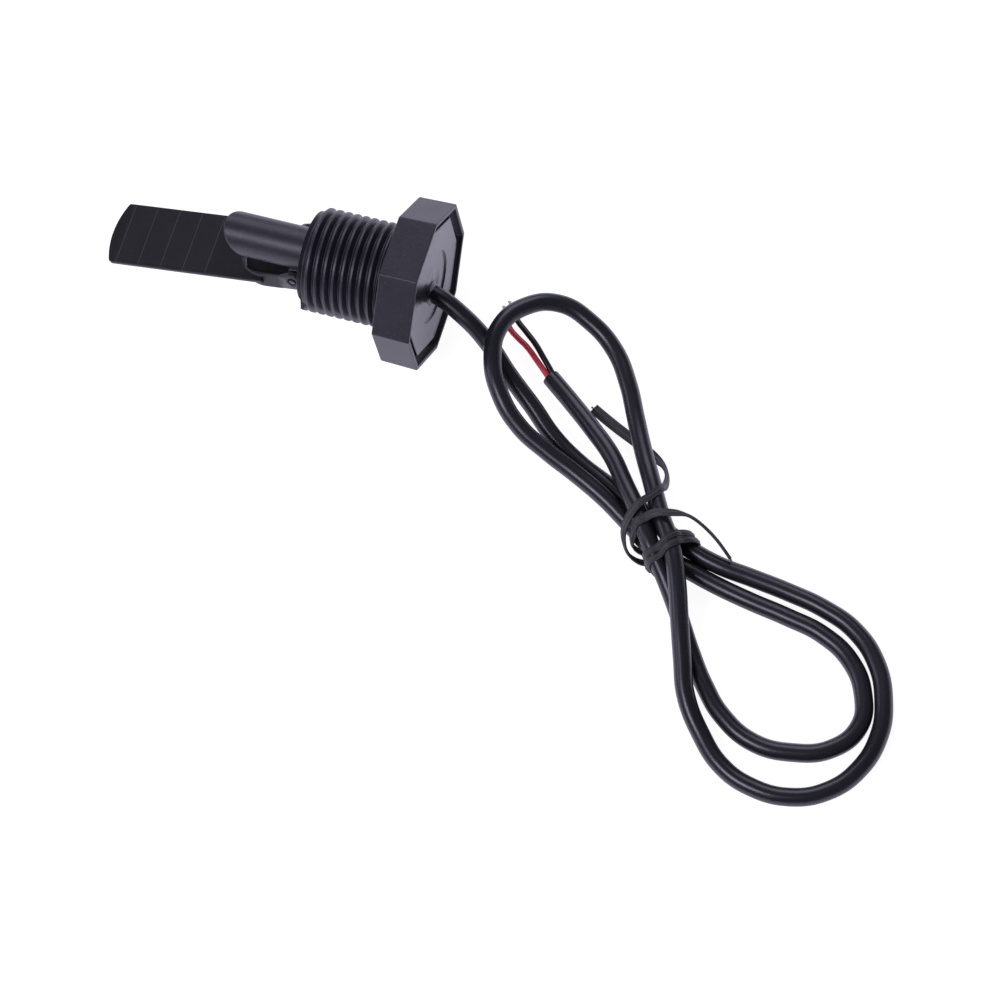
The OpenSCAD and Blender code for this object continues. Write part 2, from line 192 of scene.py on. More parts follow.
# Each finish; grain, grainDepth and cloud are the sizes of its unevenness, marks are amounts up to 1
finishes = {
    # edges painted paler here and on the blade: partly wear, partly painted highlight
    "housingPlastic": {"colour": (0.019, 0.017, 0.023), "roughness": 0.42, "grain": 0.4,
                       "grainDepth": 0.035, "wearAndEdgeHighlight": 0.3, "dust": 0.2},
    "coverPlastic": {"colour": (0.014, 0.013, 0.015), "roughness": 0.22, "grain": 0.8,
                     "grainDepth": 0.008},
    # the blade's score grooves are painted paler as a painted highlight
    "paddlePlastic": {"colour": (0.007, 0.007, 0.008), "roughness": 0.48, "grainDepth": 0.015,
                      "specular": 0.36, "wearAndEdgeHighlight": 0.2, "dust": 0.15, "grooveHighlight": 0.5},
    # the hub is the blade's plastic painted paler: painted light, where the front lamp catches its rim
    "hubPaintedLight": {"colour": (0.020, 0.019, 0.021), "roughness": 0.40, "grainDepth": 0.015,
                   "dust": 0.15},
    # the recess's floor is the paddle's plastic painted darker: painted shade under the finger
    "recessPaintedShade": {"colour": (0.003, 0.003, 0.003), "roughness": 0.6, "grainDepth": 0.015,
                      "specular": 0.25},
    "pinPlastic": {"colour": (0.03, 0.03, 0.034), "roughness": 0.3},
    "resinGloss": {"colour": (0.005, 0.005, 0.007), "roughness": 0.12, "grain": 1.2,
                   "grainDepth": 0.05},
    "jacketSkin": {"colour": (0.014, 0.014, 0.018), "roughness": 0.30, "grain": 0.4, "cloud": 12,
                   "dust": 0.1},
    "redSkin": {"colour": (0.72, 0.045, 0.07), "roughness": 0.35, "grainDepth": 0.006, "cloud": 4},
    "blackSkin": {"colour": (0.010, 0.010, 0.012), "roughness": 0.32, "grainDepth": 0.006, "cloud": 4},
    "tinnedCopper": {"colour": (0.70, 0.70, 0.72), "roughness": 0.35, "grain": 0.25,
                     "grainDepth": 0.02, "metallic": 1},
    "tieSkin": {"colour": (0.040, 0.040, 0.039), "roughness": 0.5, "grain": 0.25,
                "grainDepth": 0.02, "cloud": 5, "dust": 0.2},
    "tieSteel": {"colour": (0.4, 0.4, 0.42), "roughness": 0.3, "metallic": 1},
    "magnetPlate": {"colour": (0.62, 0.62, 0.64), "roughness": 0.2, "metallic": 1},
    "leadAlloy": {"colour": (0.7, 0.68, 0.6), "roughness": 0.3, "metallic": 1},
    "sleeveSkin": {"colour": (0.01, 0.01, 0.01), "roughness": 0.6},
    "reedGlass": {"colour": (0.55, 0.75, 0.66), "roughness": 0.05, "grain": 2, "grainDepth": 0.001,
                  "clear": 0.9},
}


def addFinish(name, colour, roughness, grain=0.3, grainDepth=0.01, cloud=6.0, mottle=0.15,
              shine=0.06, metallic=0.0, specular=0.5, clear=0.0, **amounts):
    # mottle is how far the colour strays, shine how far the roughness does
    paint = bpy.data.materials.new(name)
    paint.use_nodes = True
    tree = paint.node_tree
    link = tree.links.new
    shader = tree.nodes["Principled BSDF"]
    place = tree.nodes.new("ShaderNodeTexCoord").outputs["Object"]

    def noise(size, detail):
        texture = tree.nodes.new("ShaderNodeTexNoise")
        texture.inputs["Scale"].default_value = 1 / (size * mm)
        texture.inputs["Detail"].default_value = detail
        link(place, texture.inputs["Vector"])
        return texture.outputs["Fac"]

    clouds, fine = noise(cloud, 4), noise(grain, 3)
    tint = tree.nodes.new("ShaderNodeValToRGB")
    for stop, position, share in zip(tint.color_ramp.elements, (0.3, 0.7), (1 - mottle, 1 + mottle)):
        stop.position = position
        stop.color = tuple(c * share for c in colour) + (1,)
    link(clouds, tint.inputs["Fac"])
    painted = tint.outputs["Color"]

    for mark, (start, full, shade) in marks.items():
        if mark not in amounts:
            continue
        source = fine
        if mark != "dust":
            source = tree.nodes.new("ShaderNodeNewGeometry").outputs["Pointiness"]
        part = tree.nodes.new("ShaderNodeMapRange")
        part.inputs["From Min"].default_value = start
        part.inputs["From Max"].default_value = full
        part.inputs["To Max"].default_value = amounts[mark]
        link(source, part.inputs["Value"])
        layer = tree.nodes.new("ShaderNodeMix")
        layer.data_type = "RGBA"
        layer.inputs["B"].default_value = shade + (1,)
        link(part.outputs["Result"], layer.inputs["Factor"])
        link(painted, layer.inputs["A"])
        painted = layer.outputs["Result"]
    link(painted, shader.inputs["Base Color"])

    bump = tree.nodes.new("ShaderNodeBump")
    bump.inputs["Strength"].default_value = 1
    bump.inputs["Distance"].default_value = grainDepth * mm
    link(fine, bump.inputs["Height"])
    link(bump.outputs["Normal"], shader.inputs["Normal"])
    gloss = tree.nodes.new("ShaderNodeMapRange")
    gloss.inputs["To Min"].default_value = max(roughness - shine, 0.02)
    gloss.inputs["To Max"].default_value = roughness + shine
    link(clouds, gloss.inputs["Value"])
    link(gloss.outputs["Result"], shader.inputs["Roughness"])
    shader.inputs["Metallic"].default_value = metallic
    shader.inputs["Specular IOR Level"].default_value = specular
    shader.inputs["Transmission Weight"].default_value = clear
    return paint


paints = {name: addFinish(name, **look) for name, look in finishes.items()}
print("finishes mixed:", len(paints))

# Cable and its two wires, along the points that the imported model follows
cable = {
    "diameter": 3.6,
    "wireDiameter": 1.2,
    # from inside the head to the jacket's stripped end
    "route": [
        (28, -1, 14.5), (34.7, -1, 14.5), (42, -3.5, 12.5), (47.5, -6.5, 9.5), (53, -11, 7),
        (59, -15.5, 5), (64.5, -20, 3.5), (70.5, -23.5, 2.5), (77.5, -26.5, 2), (84, -29.5, 2.9),
        (90, -32.5, 2.9), (96, -35.3, 3.1), (103, -37.2, 2.8), (110, -37.9, 2.3), (117.5, -38.8, 2),
        (125, -40.3, 2), (131.6, -43, 2), (137.3, -48.3, 2), (140.5, -55, 2), (141.5, -62, 2),
        (139.5, -69.5, 2), (135, -75, 2), (128.5, -78, 2), (121, -78, 2), (114.5, -75.5, 2),
        (109, -70.5, 2.5), (104.5, -64.5, 4), (102, -58, 5.5), (99.5, -51, 7), (97, -44, 8),
        (94, -37.5, 8), (90, -31.5, 7.5), (86.5, -25.5, 7), (83, -19.5, 6), (79.5, -13, 5.5),
        (76, -6.5, 6), (71.5, -0.5, 6.5), (65.5, 3.5, 8), (59, 5, 10), (53, 2, 12),
        (49.5, -4, 13), (50, -10.5, 12.5), (53.5, -17, 11), (58.5, -21.5, 8.5), (65, -24.5, 6.5),
        (71.5, -27, 5), (78, -30, 4), (84, -33.5, 3), (90.5, -37.5, 2.9), (97, -39.4, 2.6),
        (104, -41.1, 2), (111, -42.5, 2), (118.5, -43.7, 2), (126, -45.4, 2), (132.4, -49.1, 2),
        (136.5, -55, 2), (137.4, -61.3, 2), (133.6, -66.8, 2), (126.5, -69.5, 2), (119, -69.5, 2),
        (112, -66, 2), (107, -61, 2), (102.5, -55, 2), (98.5, -49, 3), (94.5, -43.5, 4.5),
        (90, -38, 6.7), (86, -32.5, 7), (81.5, -27, 6), (77, -21.5, 5), (71.5, -16.5, 3.5),
        (66, -12, 2.5), (60, -7.5, 2),
    ],
    "exit": (34.7, -1, 14.5),
    "redRoute": [
        (59.5, -7.5, 2), (56.5, -5, 2.5), (53.5, -2.5, 2.5), (51, -1, 2.5), (49, 0.5, 2.5),
        (47.5, 3, 2),
    ],
    "blackRoute": [
        (60, -6.5, 2), (57.5, -4, 2.5), (55, -1.5, 2.5), (52.5, 0.5, 2.5), (50, 2.5, 2.5),
        (48.5, 4.5, 2),
    ],
}


def addCord(name, route, diameter, skin, node):
    # round cord on one open spline through its route
    data = bpy.data.curves.new(name, "CURVE")
    data.dimensions = "3D"
    data.bevel_depth = diameter / 2 * mm
    data.bevel_resolution = 6
    data.resolution_u = 10
    data.use_fill_caps = True
    line = data.splines.new("BEZIER")
    line.bezier_points.add(len(route) - 1)
    for knot, place in zip(line.bezier_points, route):
        knot.co = Vector(place) * mm
        knot.handle_left_type = knot.handle_right_type = "AUTO"
    data.materials.append(paints[skin])
    cord = bpy.data.objects.new(name, data)
    scene.collection.objects.link(cord)
    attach(cord, "head")
    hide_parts(node)
    return cord


jacket = addCord("jacket", cable["route"], cable["diameter"], "jacketSkin", "cable_jacket")
redWire = addCord("redWire", cable["redRoute"], cable["wireDiameter"], "redSkin",
                  "red_wire_tail")
blackWire = addCord("blackWire", cable["blackRoute"], cable["wireDiameter"], "blackSkin",
                    "black_wire_tail")
print("cable laid")


def softLine(corners, steps=3, most=0.45):
    # flat line through corners (a, b, soft), each one rounded over the length soft, but over no
    # more of a side than the share most
    line = [Vector(corners[0][:2])]
    for before, corner, after in zip(corners, corners[1:], corners[2:]):
        point = Vector(corner[:2])
        back = Vector(before[:2]) - point
        ahead = Vector(after[:2]) - point
        reach = min(corner[2], back.length * most, ahead.length * most)
        if reach < 0.001:
            line.append(point)
            continue
        start = point + back.normalized() * reach
        end = point + ahead.normalized() * reach
        for k in range(steps + 1):
            t = k / steps
            line.append(start * (1 - t) ** 2 + point * (2 * t * (1 - t)) + end * t ** 2)
    line.append(Vector(corners[-1][:2]))
    return line


def joinRings(rings, capped=True):
    # skin over rings that all have as many points
    count = len(rings[0])
    points = [point for ring in rings for point in ring]
    faces = []
    for i in range(len(rings) - 1):
        low, high = i * count, (i + 1) * count
        for k in range(count):
            after = (k + 1) % count
            faces.append((low + k, low + after, high + after, high + k))
    if capped:
        faces.append(tuple(reversed(range(count))))
        faces.append(tuple((len(rings) - 1) * count + k for k in range(count)))
    return points, faces


def aroundRing(count):
    # the turns of a full round, in even steps
    return [math.tau * k / count for k in range(count)]


def roundOutline(radius, count):
    return [(radius * math.cos(t), radius * math.sin(t)) for t in aroundRing(count)]


def aheadAt(path, i):
    return (path[min(i + 1, len(path) - 1)] - path[max(i - 1, 0)]).normalized()


def sweep(path, outline):
    # flat outline carried along a path
    rings = []
    side = aheadAt(path, 0).orthogonal()
    for i, place in enumerate(path):
        ahead = aheadAt(path, i)
        side = (side - ahead * side.dot(ahead)).normalized()
        over = ahead.cross(side)
        rings.append([place + side * a + over * b for a, b in outline])
    return joinRings(rings)


def gather(*skins):
    points, faces = [], []
    for somePoints, someFaces in skins:
        first = len(points)
        points += somePoints
        faces += [tuple(first + k for k in face) for face in someFaces]
    return points, faces


# Points closer than merge become one, faces thinner than sliver go
cleaning = {
    "merge": 0.003,
    "sliver": 0.001,
    "boreSides": 40,
}


def addPiece(name, skin, finish, body, nodes, bores=()):
    points, faces = skin
    mesh = bpy.data.meshes.new(name)
    mesh.from_pydata([tuple(point * mm) for point in points], [], faces)
    form = bmesh.new()
    form.from_mesh(mesh)
    bmesh.ops.remove_doubles(form, verts=form.verts, dist=cleaning["merge"] * mm)
    bmesh.ops.dissolve_degenerate(form, dist=cleaning["sliver"] * mm, edges=form.edges)
    bmesh.ops.recalc_face_normals(form, faces=form.faces)
    form.to_mesh(mesh)
    form.free()
    piece = bpy.data.objects.new(name, mesh)
    scene.collection.objects.link(piece)
    for place, radius, length in bores:
        drillAcross(piece, place, radius, length)
    for face in piece.data.polygons:
        face.use_smooth = True
    piece.data.materials.clear()
    piece.data.materials.append(paints[finish])
    even = piece.modifiers.new("even", "WEIGHTED_NORMAL")
    even.keep_sharp = False
    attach(piece, body)
    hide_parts(*nodes)
    return piece


def drillAcross(piece, place, radius, length):
    # round bore along Y
    form = bmesh.new()
    turn = Matrix.Translation(place * mm) @ Matrix.Rotation(math.pi / 2, 4, "X")
    bmesh.ops.create_cone(
        form, cap_ends=True, segments=cleaning["boreSides"], radius1=radius * mm, radius2=radius * mm,
        depth=length * mm, matrix=turn)
    bitMesh = bpy.data.meshes.new("bit")
    form.to_mesh(bitMesh)
    form.free()
    bit = bpy.data.objects.new("bit", bitMesh)
    scene.collection.objects.link(bit)
    cut = piece.modifiers.new("bore", "BOOLEAN")
    cut.operation, cut.solver, cut.object = "DIFFERENCE", "EXACT", bit
    seen = piece.evaluated_get(bpy.context.evaluated_depsgraph_get())
    bored = bpy.data.meshes.new_from_object(seen)
    piece.modifiers.clear()
    piece.data = bored
    bpy.data.objects.remove(bit)


# The head's own axis: x from the head's front face, y across, z up from the thread's axis
headShape = {
    "headLength": 7.8,
    "frontFlat": 15.28,     # half of the width across flats at the front and at the rim
    "rimFlat": 15.5,
    "frontStep": 11,        # rings on the front and the seat, hidden by the neck and the cover
    "frontHole": 8,
    "seatStep": 9,
    "cornerRound": 0.45,
    "edgeRound": 0.35,
    "rimWall": 0.9,
    "grooveDepth": 1.4,
    "grooveWidth": 1.6,
    "plateDrop": 0.6,
    "coverThickness": 1.6,
    "coverSlack": 0.05,     # between the cover and the wall that it sits in
    "holeSlack": 0.1,       # between the cable and its hole in the cover
    "holeDepth": 1,
    "dishRadius": 7.4,
    "dishDepth": 0.3,
    "dishFlat": 4.5,        # the dish's even floor starts inside this radius
    "dishSlack": 0.8,       # rings between the plate's octagon and the round dish
    "plateSlack": 1.5,
    "cavityRadius": 7.2,
    "cavityFloor": 0.8,
}
housingLow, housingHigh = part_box("housing")
headFront = housingHigh[0] / mm - headShape["headLength"]
axisHeight = (housingLow[2] + housingHigh[2]) / 2 / mm


def onHead(x, y, z):
    return Vector((headFront + x, y, axisHeight + z))


def octagonRing(x, flat):
    # eight corners with a small arc each, and four points along every side
    corner = headShape["cornerRound"]
    reach = (flat - corner) / math.cos(math.radians(22.5))
    arcs = []
    for k in range(8):
        middle = math.radians(22.5 + 45 * k)
        arcs.append([
            onHead(x, reach * math.cos(middle) + corner * math.cos(middle + turn),
                   reach * math.sin(middle) + corner * math.sin(middle + turn))
            for turn in (math.radians(11.25 * step) for step in range(-2, 3))])
    ring = []
    for k, arc in enumerate(arcs):
        start, end = arc[-1], arcs[(k + 1) % 8][0]
        ring += arc + [start.lerp(end, t) for t in (0.05, 0.35, 0.65, 0.95)]
    return ring


def roundRing(x, radius, middleY=0, middleZ=0):
    # a circle with a point for each point of an octagon
    ring = []
    for point in octagonRing(0, 10):
        turn = math.atan2(point.z - axisHeight, point.y)
        ring.append(onHead(x, middleY + radius * math.cos(turn), middleZ + radius * math.sin(turn)))
    return ring


def headSkin():
    back = headShape["headLength"]
    soft = headShape["edgeRound"]
    inner = headShape["rimFlat"] - headShape["rimWall"]
    seat = back - headShape["grooveDepth"] - headShape["coverThickness"]
    line = softLine([
        (0, headShape["frontStep"], 0), (0, headShape["frontFlat"], soft),
        (back, headShape["rimFlat"], soft * 0.7), (back, inner, 0.2), (seat, inner - 0.02, 0),
        (seat, headShape["seatStep"], 0)])
    rings = [roundRing(0, headShape["frontHole"])] + [octagonRing(x, flat) for x, flat in line]
    for x in (seat, headShape["cavityFloor"]):
        rings.append(roundRing(x, headShape["cavityRadius"]))
    return joinRings(rings)


def coverSkin():
    back = headShape["headLength"]
    slack = headShape["coverSlack"]
    outer = headShape["rimFlat"] - headShape["rimWall"] - slack
    plate = headShape["rimFlat"] - headShape["rimWall"] - headShape["grooveWidth"]
    floor = back - headShape["grooveDepth"]
    top = back - headShape["plateDrop"]
    dish = top - headShape["dishDepth"]
    dishRadius = headShape["dishRadius"]
    hole = cable["diameter"] / 2 + headShape["holeSlack"]
    edge = softLine([
        (floor - headShape["coverThickness"] + slack, outer, 0), (floor, outer, 0.1),
        (floor, plate, 0.15), (top, plate - 0.1, 0.25),
        (top, dishRadius + headShape["plateSlack"], 0)])
    step = softLine([
        (top, dishRadius + headShape["dishSlack"], 0), (top, dishRadius, 0.12),
        (dish, dishRadius - 0.1, 0.12), (dish, headShape["dishFlat"], 0)])
    y, z = cable["exit"][1], cable["exit"][2] - axisHeight
    rings = [octagonRing(x, flat) for x, flat in edge] + [roundRing(x, r) for x, r in step]
    rings += [roundRing(x, hole, y, z) for x in (dish, floor - headShape["holeDepth"])]
    return joinRings(rings)


# Meniscus of glue round the cable: height over the dish, radius, and how far it strays there
glue = {
    "line": [(-0.15, 2.6, 0.3), (0.02, 2.6, 0.3), (0.1, 2.35, 0.25), (0.25, 2.08, 0.1),
             (0.6, 1.84, 0.0), (0.55, 1.7, 0.0), (-0.15, 1.7, 0.0)],
    "sides": 48,
}


def glueSkin():
    dish = headShape["headLength"] - headShape["plateDrop"] - headShape["dishDepth"]
    y, z = cable["exit"][1], cable["exit"][2] - axisHeight
    rings = []
    for x, radius, sway in glue["line"]:
        ring = []
        for turn in aroundRing(glue["sides"]):
            reach = radius + sway * (0.7 * math.sin(turn) + 0.3 * math.sin(3 * turn + 1))
            ring.append(onHead(dish + x, y + reach * math.cos(turn), z + reach * math.sin(turn)))
        rings.append(ring)
    return joinRings(rings + [rings[0]], capped=False)


addPiece("headShell", headSkin(), "housingPlastic", "head", ["housing"])
addPiece("rearCover", coverSkin(), "coverPlastic", "head", ["rear_cover"])
addPiece("glueBead", glueSkin(), "resinGloss", "head", ["cable_bead"])
print("head made")

# Neck with a right-hand pipe thread that starts at its front edge
neck = {
    "length": 18.3,
    "crestRadius": 10.4775,
    "rootRadius": 9.3155,
    "pitch": 1.814,
    "crest": (-16.5, 22),    # a crest passes this x at this many degrees from +y towards +z
    "start": -170,           # degrees at which the thread begins with a blunt end
    "crestWidth": 0.44,
    "rootWidth": 0.2,
    "crestRound": 0.05,
    "frontHole": 6,
    "leadRadius": 8.75,      # plain ring in front of the thread, at its lowest
    "leadEdge": 0.14,        # its front edge is rounded over this length
    "leadRise": 0.75,        # the ring rises by this towards leadHigh, in degrees
    "leadHigh": 15,
    "leadEnd": (-16.9, 0.4),     # it rises no more from this x on, and fades over this length
    # x and radius of the core there
    "entry": [(-18.3, 8.75), (-17.55, 8.25), (-17.1, 9.55), (-16.6, 9.3155)],
    "runOut": (-1.6, -0.7),  # the thread fades into the root here
    "shoulderRadius": 10.65,
    "shoulder": 0.4,
    "sides": 160,
    "step": 0.08,
}


def leadLift(turn):
    return neck["leadRise"] * (0.5 + 0.5 * math.cos(turn - math.radians(neck["leadHigh"])))


def threadRadius(x, turn):
    # turn is measured from +y towards +z
    # how far the place is from the nearest crest, along the axis
    crestX, crestTurn = neck["crest"]
    offset = (x - crestX) / neck["pitch"] - (turn - math.radians(crestTurn)) / math.tau
    away = abs(offset - round(offset)) * neck["pitch"]
    flank = (neck["pitch"] - neck["crestWidth"] - neck["rootWidth"]) / 2
    rise = min(max((away - neck["crestWidth"] / 2) / flank, 0), 1)
    # 1 on the crest and 0 at the root, with a rounded edge between crest and flank
    ease = neck["crestRound"]
    height = 1 - rise if rise > 2 * ease else 1 - (rise / (2 * ease)) ** 2 * 2 * ease
    start, end = neck["runOut"]
    height *= min(max((end - x) / (end - start), 0), 1)
    wound = math.degrees(turn) + 360 * round(offset)
    if wound < neck["start"]:
        height = 0
    # radius of the core below the thread
    leadEnd, fade = neck["leadEnd"]
    base = neck["rootRadius"] + leadLift(turn) * min(max((leadEnd - x) / fade, 0), 1)
    for (startX, startRadius), (nextX, nextRadius) in zip(neck["entry"], neck["entry"][1:]):
        if startX <= x < nextX:
            growth = (nextRadius - startRadius) * (x - startX) / (nextX - startX)
            base += startRadius - neck["rootRadius"] + growth
    return base + (neck["crestRadius"] - base) * height


def neckSkin():
    turns = aroundRing(neck["sides"])
    length, leadRadius = neck["length"], neck["leadRadius"]
    first = neck["leadEdge"] - length
    steps = round((-first - neck["shoulder"]) / neck["step"])

    def ring(x, radiusAt):
        return [onHead(x, radiusAt(t) * math.cos(t), radiusAt(t) * math.sin(t)) for t in turns]

    front = softLine([
        (-length, neck["frontHole"], 0), (-length, leadRadius, 0.12), (first, leadRadius, 0)])
    rings = [ring(-length, lambda t: neck["frontHole"])]
    rings += [ring(x, lambda t, r=radius: r + leadLift(t)) for x, radius in front[1:-1]]
    for i in range(steps + 1):
        x = first - (first + neck["shoulder"]) * i / steps
        rings.append(ring(x, lambda t, x=x: threadRadius(x, t)))
    shoulder = softLine([
        (-neck["shoulder"], neck["rootRadius"], 0), (-neck["shoulder"], neck["shoulderRadius"], 0.15),
        (0.2, neck["shoulderRadius"], 0), (0.2, headShape["frontHole"], 0)])
    rings += [ring(x, lambda t, r=radius: r) for x, radius in shoulder[1:]]
    return joinRings(rings)


# Finger with a slanted nose, and the boss on it that the pin runs through
finger = {
    "radius": 4.3,
    "rise": 3.7,
    "reach": 35.5,
    "slant": 35,
    "noseRound": 0.55,
    # flare at the neck: distance from the neck's face and how far the finger widens there
    "rootLine": [(0.4, 0.35), (0, 0.35), (-0.06, 0.1925), (-0.16, 0.0875), (-0.35, 0)],
    "bossRadius": 1.5,
    "bossHalf": 4.6,
    "pinX": -20.16,
    "pinZ": 0.99,
    "pinRadius": 0.7,
    "pinHalf": 6.6,
    "sides": 72,
}


def fingerSkin():
    turns = aroundRing(finger["sides"])
    radius, rise = finger["radius"], finger["rise"]
    slope = math.tan(math.radians(finger["slant"]))
    root = -neck["length"]

    def noseX(z):
        return -finger["reach"] + (rise + radius - z) * slope

    def onFinger(x, r, turn):
        return onHead(x, r * math.sin(turn), rise + r * math.cos(turn))

    rings = []
    for x, flare in finger["rootLine"]:
        rings.append([onFinger(root + x, radius + flare, t) for t in turns])
    soft = finger["noseRound"]
    start = root + finger["rootLine"][-1][0]
    ends = [noseX(rise + radius * math.cos(t)) for t in turns]
    for part in (0.25, 0.5, 0.75, 1):
        rings.append([
            onFinger(start + (end + soft - start) * part, radius, t) for end, t in zip(ends, turns)])
    middle = onHead(noseX(rise), 0, rise)
    edge = [onFinger(end, radius, t) for end, t in zip(ends, turns)]
    side = rings[-1]
    inset = [point + (middle - point).normalized() * soft for point in edge]
    for k in range(1, 6):
        t = k / 6
        rings.append([
            a * (1 - t) ** 2 + b * (2 * t * (1 - t)) + c * t ** 2 for a, b, c in zip(side, edge, inset)])
    rings.append(inset)
    for part in (0.35, 0.8):
        rings.append([point.lerp(middle, part) for point in inset])
    return joinRings(rings)


def acrossSkin(line, x, z, sides=40):
    # turned form about an axis along Y, from a line of (y, radius)
    rings = []
    for y, radius in line:
        rings.append([onHead(x + a, y, z + b) for a, b in roundOutline(radius, sides)])
    return joinRings(rings)


def bossSkin():
    half, radius = finger["bossHalf"], finger["bossRadius"]
    line = softLine([(-half, 0.9, 0), (-half, radius, 0.25), (half, radius, 0.25), (half, 0.9, 0)])
    return acrossSkin(line, finger["pinX"], finger["pinZ"])


def pinSkin():
    half, radius = finger["pinHalf"], finger["pinRadius"]
    line = [(-half - 0.08, 0.15), (-half - 0.05, radius * 0.55), (-half + 0.02, radius * 0.85),
            (-half + 0.15, radius)]
    return acrossSkin(line + [(-y, r) for y, r in reversed(line)], finger["pinX"], finger["pinZ"])


for name, skin in (("threadedNeck", neckSkin()), ("finger", fingerSkin()), ("fingerBoss", bossSkin())):
    addPiece(name, skin, "housingPlastic", "head", ["housing"])
addPiece("hingePin", pinSkin(), "pinPlastic", "head", ["hinge_pin"])
print("neck and finger made")

# Paddle in the pin's frame: x runs along the blade to its tip at -x, z is up from the pin
paddle = {
    "tilt": 14.3,
    "length": 44.9,
    "half": 6.7,
    "top": -1.01,
    "thickness": 1.0,
    "startMiddle": -8.2,     # the blade begins on this arc, inside the hub's wall
    "startRadius": 5.8,
    "startSide": -7.6,       # and here beside it
    "edgeRound": 0.22,
    "tipRadius": 15.7,
    "tipCorner": 0.8,
    "firstScore": 20.8,
    "scoreStep": 5.25,
    "scores": 5,
    "scoreWidth": 0.42,
    "scoreDepth": 0.16,
    "beforeScores": 1,       # the even rings stop this far before the first score line
    "afterScores": 0.4,      # and begin again this far behind the last one
    "rowSteps": 24,
}
hub = {
    "front": -7.5,           # centre of the round front
    "innerFront": -9.0,      # centre of the recess's round front
    "innerRadius": 4.85,
    "heel": 0.95,
    "bottom": -3.01,
    "floor": -2.21,
    "rimRise": 0.5,
    "frontRise": 0.2,        # the rim is lower at the front
    "rimLean": 1.5,
    "rimBlend": 1.2,         # the rim has turned into the lug where that is this much higher
    # how high the wall stands upright, as a share of it: anywhere, more at the front, more at the lug
    "waist": (0.06, 0.74, 0.64),
    "taperFrom": -5,         # the recess runs towards its own front from here
    "stations": [
        1.49, 1.46, 1.38, 1.25, 1.1, 0.95, 0.7, 0.4, 0, -0.4, -0.79, -1.2, -1.7, -2.3, -2.9, -3.3,
        -3.7, -4.1, -4.6, -5.2, -6, -6.8,
    ],
    "frontSteps": 32,
    "lugRadius": 1.5,
    "lugFoot": -4.5,
    "lugLean": 0.8,
    "pinHole": 1.0,
    "boreLength": 30,        # the pin's hole is cut through both lugs at once
    "bossAt": -9.0,
    "bossRadius": 3.5,
    "bossDrop": 1.8,
    "bossSides": 56,
    "pocketRadius": 2.52,
    "floorInset": 0.7,       # the recess's floor ends this far inside the wall's outer face
    "floorShort": 0.02,      # and this far short of the heel
    "floorSteps": 24,
}
hinge = next(joint for joint in frame["record"]["behaviour"]["joints"] if joint["name"] == "paddle_hinge")
pinPlace = Vector(hinge["pos_m"]) / mm
hang = Matrix.Rotation(math.radians(-paddle["tilt"]), 4, "Y")


def onPaddle(x, y, z):
    return pinPlace + hang @ Vector((x, y, z))


def tipLine(y):
    # x of the rounded tip at a place across the blade
    corner = paddle["tipCorner"]
    flatHalf = paddle["half"] - corner
    reach = min(abs(y), flatHalf)
    x = -paddle["length"] + paddle["tipRadius"] - math.sqrt(paddle["tipRadius"] ** 2 - reach ** 2)
    past = min(max(abs(y) - flatHalf, 0), corner)
    return x + corner - math.sqrt(corner ** 2 - past ** 2)


def bladeStart(y):
    radius = paddle["startRadius"]
    if abs(y) >= radius:
        return paddle["startSide"]
    return paddle["startMiddle"] - math.sqrt(radius ** 2 - y ** 2)


